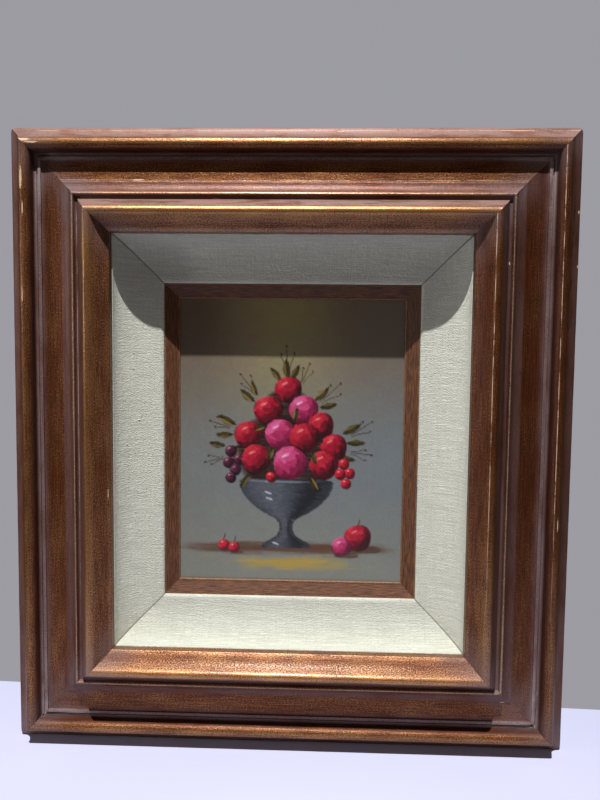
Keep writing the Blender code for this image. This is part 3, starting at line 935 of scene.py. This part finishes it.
pictureLook = {
    "grain": 0.000375, "columns": (90, 2), "rows": (112, 2), "thickest": 0.00045, "seed": 23,
    "turnOver": 0.015, "strokes": 900, "shadowStrokes": 260, "litStrokes": 190,
    "ground": {"highLeft": (106, 89, 72), "highRight": (104, 93, 80), "highMiddle": (134, 120, 80),
               "left": (113, 115, 110), "right": (106, 113, 115), "low": (121, 122, 109)},
    "shadow": (84, 58, 42), "lit": (164, 136, 58), "twig": (58, 44, 34), "bud": (64, 30, 28),
    "stalk": (52, 42, 24), "behind": (34, 18, 14), "under": (70, 48, 36),
    "reds": ((34, 4, 12), (84, 9, 26), (148, 20, 42), (192, 48, 60), (232, 130, 128)),
    "pinks": ((64, 12, 32), (124, 26, 62), (172, 50, 92), (204, 92, 134), (238, 180, 202)),
    "cherries": ((52, 4, 14), (116, 10, 28), (176, 24, 44), (208, 58, 64), (246, 200, 196)),
    "grapes": ((20, 8, 20), (44, 16, 34), (74, 28, 48), (112, 62, 74), (206, 186, 190)),
    "leaves": ((22, 20, 12), (44, 42, 22), (78, 66, 34), (112, 92, 48), (150, 132, 80)),
    "slate": ((28, 30, 34), (50, 53, 58), (78, 82, 88), (112, 117, 124), (196, 202, 208)),
    "bowl": {"middle": 98, "rim": 92, "halfWidth": 41},
    # the bowl's outline: height and share of its half width, from the rim down
    "outline": ((92, 1.00), (88, 0.99), (82, 0.93), (76, 0.82), (70, 0.66), (64, 0.44), (60, 0.24),
                (56, 0.15), (50, 0.14), (45, 0.20), (41, 0.36), (38, 0.50), (35, 0.53)),
    # fruit from back to front: place from the lower left corner and radius in mm
    "fruit": (("reds", 99, 171, 11.5), ("reds", 82, 153, 12.5), ("pinks", 112, 154, 12.5),
              ("reds", 127, 141, 11.0), ("reds", 65, 132, 12.0), ("pinks", 92, 133, 13.0),
              ("reds", 113, 130, 13.0), ("reds", 138, 122, 11.5), ("grapes", 50, 118, 5.2),
              ("grapes", 57, 111, 5.2), ("grapes", 48, 108, 5.0), ("grapes", 54, 102, 5.0),
              ("reds", 72, 111, 13.0), ("reds", 130, 107, 12.5), ("pinks", 101, 108, 14.5),
              ("cherries", 147, 108, 4.8), ("cherries", 152, 100, 4.8), ("cherries", 144, 99, 4.8),
              ("cherries", 85, 96, 4.8), ("cherries", 149, 91, 4.6), ("grapes", 50, 95, 4.8)),
    "fallen": (("reds", 160, 44, 11.5), ("cherries", 44, 36, 5.0), ("cherries", 53, 34, 4.8),
               ("pinks", 146, 36, 8.5)),
    # leaves: foot, length, width in mm and heading in degrees
    "sprigs": (
        (98, 180, 17, 7, 96), (101, 179, 15, 6, 62), (93, 178, 15, 6, 128), (70, 160, 16, 7, 140),
        (72, 166, 13, 5, 112), (122, 162, 16, 7, 44), (126, 156, 15, 6, 12), (54, 140, 17, 7, 152),
        (52, 132, 15, 6, 182), (146, 134, 17, 7, 28), (149, 126, 16, 6, 2), (62, 122, 13, 6, 196),
        (142, 114, 15, 6, -12), (86, 121, 11, 6, 250), (120, 118, 11, 5, 285), (104, 144, 12, 6, 80),
        (80, 140, 11, 5, 200), (45, 122, 14, 6, 170), (118, 96, 14, 6, 300), (66, 98, 14, 6, 236)),
    "twigs": ((98, 184, 26, 88), (72, 166, 24, 124), (126, 160, 26, 40), (50, 138, 20, 158),
              (152, 132, 24, 30), (152, 118, 20, 350), (44, 112, 18, 190), (110, 176, 20, 64)),
    "stalks": ((147, 113), (86, 101), (44, 41), (53, 39), (99, 182), (160, 55), (72, 123)),
}


def paintStroke(board, x, z, length, width, heading, colour, body, bend=0.0, cover=1.0, point=0.0):
    # one loaded brush stroke: bristle streaks along it, thicker paint at its sides and far end
    step = board["step"]
    reach = (length + width) * 0.55 + abs(bend)
    rows, columns = board["load"].shape
    left, low = max(0, int((x - reach) / step)), max(0, int((z - reach) / step))
    right, high = min(columns, int((x + reach) / step) + 1), min(rows, int((z + reach) / step) + 1)
    if left >= right or low >= high:
        return
    gridX = (np.arange(left, right) + 0.5) * step - x
    gridZ = ((np.arange(low, high) + 0.5) * step - z)[:, None]
    lengthwise = gridX * math.cos(heading) + gridZ * math.sin(heading)
    across = gridZ * math.cos(heading) - gridX * math.sin(heading) - bend * (2 * lengthwise / length) ** 2
    narrowed = width * (1 - point * np.clip(np.abs(2 * lengthwise / length), 0, 1) ** 1.4)
    inside = 1 - np.abs(2 * lengthwise / length) ** 3 - np.abs(2 * across / narrowed) ** 2.4
    streaks = board["bristles"]
    lane = (across * 3.2 + board["turn"] * 17).astype(int) % streaks.shape[0]
    run = (lengthwise * 0.5 + board["turn"] * 29).astype(int) % streaks.shape[1]
    bristle = streaks[lane, run]
    board["turn"] += 1
    share = np.clip(inside * 3.0, 0, 1) * np.clip(0.55 + 0.9 * bristle, 0, 1) * cover
    area = slice(low, high), slice(left, right)
    tone = np.array(colour)[None, None] * (0.90 + 0.20 * bristle[..., None])
    board["colour"][area] += (tone - board["colour"][area]) * share[..., None]
    ridge = body * (0.35 + 0.65 * bristle + 0.5 * np.clip(1 - inside * 2, 0, 1) * (inside > 0))
    board["load"][area] += (ridge - board["load"][area] * 0.75) * share


def layersOf(board):
    return {layer: board[layer].copy() for layer in ("colour", "load")}


def keepInside(board, before, distance):
    # what was painted since then stays only inside this outline, given as mm outside it at each point
    share = np.clip(0.5 - distance / 0.7, 0, 1)
    for layer, weight in (("colour", share[..., None]), ("load", share)):
        board[layer][:] = before[layer] + (board[layer] - before[layer]) * weight


def boardPlaces(board):
    rows, columns = board["load"].shape
    return (np.arange(columns) + 0.5)[None] * board["step"], (np.arange(rows) + 0.5)[:, None] * board["step"]


def toneFrom(ramp, light):
    levels = np.linspace(0, 1, len(ramp))
    return [np.interp(light, levels, [tone[channel] for tone in ramp]) for channel in range(3)]


def paintRound(board, random, ramp, x, z, radius):
    # a fruit built up of strokes that follow its roundness, lit from the upper left
    before = layersOf(board)
    paintStroke(board, x + 0.6, z - 0.8, radius * 2.15, radius * 2.1, 0.3, ramp[0], 0.10)
    for _ in range(int(40 + radius * radius * 1.3)):
        turn = random.uniform(0, 2 * math.pi)
        off = math.sqrt(random.uniform(0, 1)) * 0.90
        across, up = off * math.cos(turn), off * math.sin(turn)
        light = -0.50 * across + 0.58 * up + 0.62 * math.sqrt(1 - off * off)
        light = 0.08 + 0.66 * max(0.0, light) + random.normal(0, 0.05) + 0.10 * max(0.0, -light)
        heading = turn + math.pi / 2 + random.normal(0, 0.3)
        size = radius * (0.34 + 0.22 * (1 - off))
        paintStroke(board, x + across * radius, z + up * radius, size * 1.5, size * 0.62, heading,
                    toneFrom(ramp, min(light, 0.86)), 0.16, -size * 0.12)
    for shift in (0.0, 0.16):
        paintStroke(board, x - radius * (0.36 - shift), z + radius * (0.42 + shift * 0.4), radius * 0.34,
                    radius * 0.16, 0.6, ramp[4], 0.34, 0, 0.7)
    across, up = boardPlaces(board)
    wobble = 0.05 * radius * np.sin(3 * np.arctan2(up - z, across - x) + radius)
    keepInside(board, before, np.hypot(across - x, up - z) - radius * 1.02 - wobble)


def paintLeaf(board, random, ramp, x, z, length, width, degrees):
    heading = math.radians(degrees)
    middle = x + math.cos(heading) * length / 2, z + math.sin(heading) * length / 2
    side = -math.sin(heading) * width * 0.2, math.cos(heading) * width * 0.2
    bend = random.uniform(-1, 1) * width * 0.15
    paintStroke(board, *middle, length * 1.15, width, heading, toneFrom(ramp, 0.15), 0.10, bend, 1.0, 0.95)
    for way, tone in ((1, random.uniform(0.55, 0.9)), (-1, random.uniform(0.25, 0.45))):
        paintStroke(board, middle[0] + side[0] * way, middle[1] + side[1] * way, length * 0.95, width * 0.46,
                    heading, toneFrom(ramp, tone), 0.2, bend + width * 0.08 * way, 1.0, 0.9)
    paintStroke(board, *middle, length * 1.1, 0.5, heading, toneFrom(ramp, 0.05), 0.05, bend, 0.8)


def paintBowl(board, random, ramp, outline, middle, rim, halfWidth):
    # a bowl on a stem and foot, stroke by stroke across its outline
    top = outline[0][0]
    heights = [height - top + rim for height, _ in outline][::-1]
    shares = [share for _, share in outline][::-1]
    before = layersOf(board)
    for height in np.arange(heights[0], heights[-1] + 0.5, 1.5):
        half = np.interp(height, heights, shares) * halfWidth
        for place in np.linspace(-0.97, 0.97, max(5, int(half * 0.9))):
            light = 0.42 - 0.55 * (place + 0.35) ** 2 + 0.12 * (height - heights[0]) / 57
            light = max(0.02, light + random.normal(0, 0.03)) + (0.18 if place > 0.86 else 0)
            wide = max(3.0, half * 0.30)
            x, z = middle + place * (half - wide * 0.42), height + random.normal(0, 0.3)
            heading = random.normal(0, 0.08) - place * 0.12
            paintStroke(board, x, z, wide, 2.6, heading, toneFrom(ramp, light), 0.12)
    for place in np.linspace(-0.95, 0.9, 22):
        paintStroke(board, middle + place * halfWidth, rim + 0.6 - 0.8 * (1 - place * place), 5.0, 1.5, 0,
                    toneFrom(ramp, 0.75 - 0.5 * (place + 0.3) ** 2), 0.22)
    across, up = boardPlaces(board)
    beside = np.abs(across - middle) - np.interp(up, heights, shares) * halfWidth
    keepInside(board, before, np.maximum(beside, np.maximum(heights[0] - 1 - up, up - heights[-1] - 1.6)))
    for height, reach in ((82, 0.38), (77, 0.36), (38, 0.22)):
        paintStroke(board, middle - halfWidth * reach, height - top + rim, 6.5, 1.8, -0.35, ramp[4], 0.28,
                    cover=0.75)


def startBoard(random, look, columns, rows):
    # an unpainted board and the streaks that a brush leaves
    lanes, runs = 97, 233
    streaks = np.tile(random.normal(0, 1, (lanes, runs)), 3)
    streaks = [np.convolve(lane, np.ones(9) / 9, "same")[runs:2 * runs] for lane in streaks]
    return {"step": look["grain"] * 1000, "bristles": np.clip(0.5 + np.array(streaks) * 1.1, 0, 1), "turn": 1,
            "colour": np.zeros((rows, columns, 3)), "load": np.zeros((rows, columns))}


def paintGround(board, random, look, wide, high):
    # the ground of the picture, warmer and darker at the top, and the table
    rows, columns = board["load"].shape
    step = board["step"]
    ground = {key: np.array(tone, float) for key, tone in look["ground"].items()}
    sideways = np.linspace(0, 1, columns)[None, :, None]
    upwards = np.linspace(0, 1, rows)[:, None, None]
    middle = ground["left"] * (1 - sideways) + ground["right"] * sideways
    warm = np.exp(-((sideways - 0.47) / 0.22) ** 2)
    top = ground["highLeft"] * (1 - sideways) + ground["highRight"] * sideways
    top = top * (1 - warm) + ground["highMiddle"] * warm
    rise = np.clip((upwards - 0.42) / 0.5, 0, 1)
    rise = rise * rise * (3 - 2 * rise)
    fall = np.clip((0.35 - upwards) / 0.3, 0, 1)
    board["colour"][:] = middle * (1 - rise) + top * rise
    board["colour"] += (ground["low"] - board["colour"]) * fall * 0.8
    base = board["colour"].copy()
    for _ in range(look["strokes"]):
        x, z = random.uniform(0, wide), random.uniform(0, high)
        tone = base[min(rows - 1, int(z / step)), min(columns - 1, int(x / step))] + random.normal(0, 1.2, 3)
        length, width, heading = random.uniform(18, 34), random.uniform(7, 12), random.uniform(-0.9, 2.2)
        paintStroke(board, x, z, length, width, heading, tone, 0.02, random.normal(0, 1.5), 0.30)

    # the bowl's shadow on the table, with warm light below it
    red, green, blue = look["shadow"]
    for _ in range(look["shadowStrokes"]):
        x, z = random.uniform(14, 182), random.normal(34, 2.2)
        edge = min(1.0, (x - 8) / 40, (190 - x) / 40)
        paintStroke(board, x, z, random.uniform(22, 40), random.uniform(1.6, 3.6), random.normal(0, 0.02),
                    (red + random.normal(0, 7), green, blue), 0.05, 0, 0.22 * max(0.0, edge))
    red, green, blue = look["lit"]
    for _ in range(look["litStrokes"]):
        x, z = random.normal(104, 24), random.normal(21, 2.6)
        paintStroke(board, x, z, random.uniform(14, 28), random.uniform(1.6, 4.0), random.normal(0, 0.03),
                    (red, green + random.normal(0, 6), blue), 0.05, 0, 0.13)


def paintPicture(look, width, height):
    # colour and thickness of the paint over the canvas, in rows from the lower edge; all measures here in mm
    random = np.random.default_rng(look["seed"])
    step = look["grain"] * 1000
    board = startBoard(random, look, round(width / step), round(height / step))
    paintGround(board, random, look, width, height)
    for x, z, length, degrees in look["twigs"]:
        for turn in (-16, 4, 19):
            heading = math.radians(degrees + turn)
            reach = length * (1 - abs(turn) / 60)
            aside, up = math.cos(heading) * reach, math.sin(heading) * reach
            bend = turn * 0.08
            paintStroke(board, x + aside / 2, z + up / 2, reach, 0.75, heading, look["twig"], 0.10, bend)
            paintStroke(board, x + aside, z + up, 2.6, 1.5, heading + 0.6, look["bud"], 0.15)
    for sprig in look["sprigs"][:15]:
        paintLeaf(board, random, look["leaves"], *sprig)
    paintStroke(board, 98, 118, 88, 66, 0.0, look["behind"], 0.05, 0, 0.9)
    paintStroke(board, 98, 146, 46, 52, 0.0, look["behind"], 0.05, 0, 0.9)
    paintBowl(board, random, look["slate"], look["outline"], **look["bowl"])
    for kind, x, z, radius in look["fruit"] + look["fallen"]:
        if (kind, x, z, radius) in look["fallen"]:
            paintStroke(board, x + radius * 0.5, z - radius * 0.9, radius * 2.6, radius * 0.6, 0,
                        look["under"], 0.05, 0, 0.8)
        paintRound(board, random, look[kind], x, z, radius)
    for sprig in look["sprigs"][13:]:
        paintLeaf(board, random, look["leaves"], *sprig)
    for x, z in look["stalks"]:
        paintStroke(board, x + 0.8, z + 2.0, 7.0, 0.9, 1.25, look["stalk"], 0.2, 0.6)
    return board


def makeOilPaint():
    material, tree = newMaterial("oilPaint")
    cloth = attribute(tree, "cloth", "Vector")
    weave = useGroup(weaveGroup, cloth, 0.00062, 0.15)
    dirt = useGroup(dustGroup, cloth, 0.0008)
    bristles = noiseOf(cloth, 1400.0, 3.0, 0.7)
    colour = attribute(tree, "paint", "Color")
    colour = mixed(fade(bristles, 0.35, 0.7, 0.0, 0.10), colour, (0.02, 0.02, 0.02))
    colour = mixed(dirt["Specks"] * 0.15, colour, (0.05, 0.04, 0.03))
    return dress(material, {"Base Color": colour, "Roughness": fade(bristles, 0.3, 0.7, 0.32, 0.50),
                            "Coat Weight": 0.25, "Coat Roughness": 0.22},
                 weave["Height"] * 0.5 + bristles * 0.6, 0.35, 0.00015)


def makePlainCloth(name, thread, shade, relief):
    material, tree = newMaterial(name)
    cloth = attribute(tree, "cloth", "Vector")
    weave = useGroup(weaveGroup, cloth, 0.0007, 0.5)
    dirt = useGroup(dustGroup, cloth, 0.0012)
    colour = mixed(fade(weave["Tone"], 0.5, 1.3), shade, thread)
    # painted shade in the gaps between the threads
    colour = mixed(weave["Gaps"] * 0.4, colour, [part / 2 for part in shade])
    colour = mixed(dirt["Dust"] * 0.3, colour, (0.30, 0.25, 0.18))
    return dress(material, {"Base Color": colour, "Roughness": 0.9}, weave["Height"], relief)


def layCloth(piece, points, low, high):
    # the cloth's own directions, carried round its sides and turned edge
    depth = points[:, 1] - low.y
    flat, flatZ = (np.minimum(np.abs(points[:, axis] - low[axis]), np.abs(points[:, axis] - high[axis]))
                   for axis in (0, 2))
    folded = depth > 0.001
    beyond = np.where(folded, depth + np.where(depth > 0.01, np.minimum(flat, flatZ), 0), 0)
    above = points[:, 2] - pictureCentre.z
    across = points[:, 0] + np.where(folded & (flat <= flatZ + 0.0001), np.sign(points[:, 0]) * beyond, 0)
    up = points[:, 2] + np.where(folded & (flatZ <= flat + 0.0001), np.sign(above) * beyond, 0)
    storeOnPoints(piece, cloth=(across, up, 0))


def makeCanvas():
    look = pictureLook
    piece = startFromNode("canvas", "painted_canvas")
    low, high = canvasBox
    size = (high.x - low.x, high.z - low.z)

    def atFront(points):
        return points[:, 1] < low.y + 0.00001

    cutLengthwise(piece, (1, 0, 0), look["columns"], atFront)
    cutLengthwise(piece, (0, 0, 1), look["rows"], atFront)
    points = pointsOf(piece)
    layCloth(piece, points, low, high)

    board = paintPicture(look, size[0] * 1000, size[1] * 1000)
    rows, columns = board["load"].shape
    column = np.clip((points[:, 0] - low.x) / size[0] * columns - 0.5, 0, columns - 1.001)
    row = np.clip((points[:, 2] - low.z) / size[1] * rows - 0.5, 0, rows - 1.001)
    left, below = column.astype(int), row.astype(int)
    shareX, shareZ = (column - left)[:, None], (row - below)[:, None]
    laid = np.dstack([board["colour"], board["load"]])
    lower, upper = (laid[line, left] * (1 - shareX) + laid[line, left + 1] * shareX
                    for line in (below, below + 1))
    laid = lower * (1 - shareZ) + upper * shareZ
    tones = np.column_stack([(np.clip(laid[:, :3], 0, 255) / 255) ** 2.2, np.ones(len(points))])
    piece.data.color_attributes.new("paint", "FLOAT_COLOR", "POINT").data.foreach_set("color", tones.ravel())
    above = np.abs(points[:, 2] - pictureCentre.z)
    inSight = (np.abs(points[:, 0]) < sightHalf[0] - 0.001) & (above < sightHalf[1] - 0.001)
    thick = np.clip(laid[:, 3] * 0.001, 0, look["thickest"])
    points[:, 1] -= np.where(atFront(points) & inSight, thick, 0)
    movePoints(piece, points)

    def clothOf(middles, normals):
        # painted in front, primed on the sides and the back, raw within
        rim = 0.0003
        outside = ((np.abs(middles[:, 0]) > high.x - rim) | (middles[:, 1] > high.y - rim)
                   | (np.abs(middles[:, 2] - pictureCentre.z) > size[1] / 2 - rim))
        return np.where(middles[:, 1] < low.y + rim, 0, np.where(outside, 1, 2))

    assignFaces(piece, clothOf)
    primed = makePlainCloth("primedCloth", (0.66, 0.64, 0.58), (0.52, 0.50, 0.43), 0.3)
    raw = makePlainCloth("rawCloth", (0.50, 0.41, 0.28), (0.34, 0.27, 0.17), 0.8)
    finishPiece(piece, "canvas", "painted_canvas", makeOilPaint(), primed, raw, angle=50)
    ["stretcher_" + side for side in sides]


makeCanvas()
print("painting done")


# The hanger and its nails keep their solids

def makePlatedSteel(name, colour, dull):
    material, tree = newMaterial(name)
    place = put(tree, "TexCoord", {}, "Object")
    smear = noiseOf(stretched(place, (1.0, 1.0, 5.0)), 900.0, 3.0, 0.6)
    tone = mixed(fade(noiseOf(place, 260.0, 4.0, 0.6), 0.45, 0.70), colour, dull)
    rough = fade(smear, 0.3, 0.7, 0.26, 0.52)
    return dress(material, {"Base Color": tone, "Metallic": 1.0, "Roughness": rough}, smear, 0.3, 0.0001)


def finishHanger():
    plated = makePlatedSteel("platedSteel", (0.72, 0.58, 0.32), (0.34, 0.26, 0.16))
    steel = makePlatedSteel("nailSteel", (0.52, 0.52, 0.54), (0.22, 0.20, 0.19))
    metals = {"sawtooth_hanger": plated, "hanger_nail_left": steel, "hanger_nail_right": steel}
    for name, metal in metals.items():
        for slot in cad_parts[name].material_slots:
            slot.material = metal


finishHanger()
print("hanger done")
